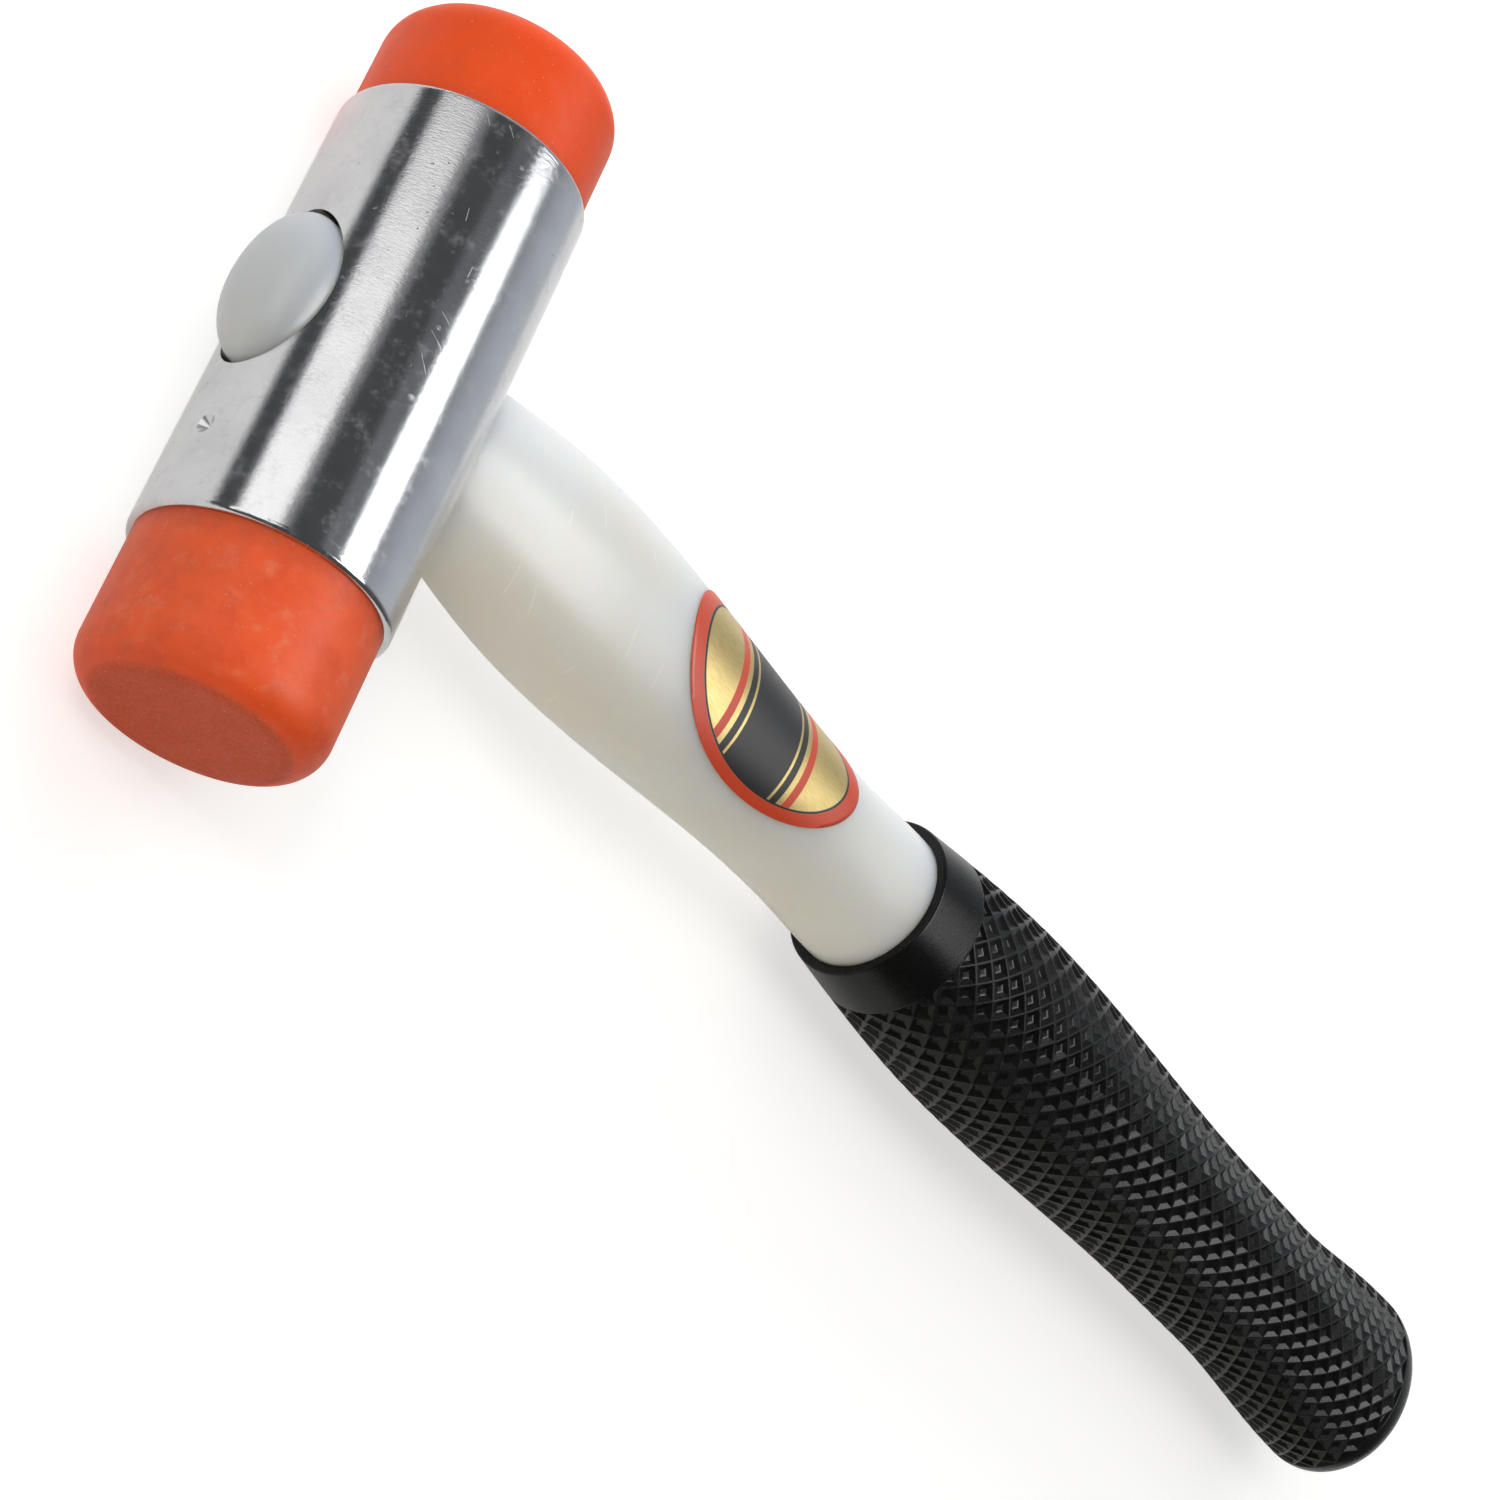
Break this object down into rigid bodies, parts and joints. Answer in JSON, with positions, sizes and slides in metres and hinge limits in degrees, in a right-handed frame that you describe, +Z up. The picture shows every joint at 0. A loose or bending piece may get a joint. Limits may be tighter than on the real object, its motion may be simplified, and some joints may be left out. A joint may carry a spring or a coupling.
{
  "type": "soft face hammer",
  "caption": "Hand hammer with a plated steel barrel head, screw-in soft striking faces, an oval plastic handle and a chequered rubber grip.",
  "frame": {"origin": "middle of the hammer's bounding box in plan, on the surface it lies on", "axes": "+X along the handle from the head to the butt, +Y along the head from the front face to the rear face, +Z up from the surface the hammer lies on"},
  "size_m": [0.3194, 0.101, 0.034],
  "materials": {
    "plated_steel": "bright zinc plate over turned steel",
    "bare_steel": "machined",
    "face_plastic": "satin moulded polyurethane",
    "handle_plastic": "milky semi-gloss nylon",
    "grip_rubber": "satin moulded rubber with chequering",
    "label_foil": "printed metallic foil"
  },
  "bodies": {
    "hammer": {"head": "plated_steel", "handle": "handle_plastic", "grip": "grip_rubber", "handle_lock_pin": "bare_steel", "label": "label_foil"},
    "front_face": {"front_face": "face_plastic", "front_face_stud": "bare_steel"},
    "rear_face": {"rear_face": "face_plastic", "rear_face_stud": "bare_steel"}
  },
  "joints": [
    {"name": "front_face_unscrew", "type": "slide", "parent": "hammer", "child": "front_face", "axis": [0, -1, 0], "range_m": [0, 0.016]},
    {"name": "rear_face_unscrew", "type": "slide", "parent": "hammer", "child": "rear_face", "axis": [0, 1, 0], "range_m": [0, 0.016]}
  ]
}
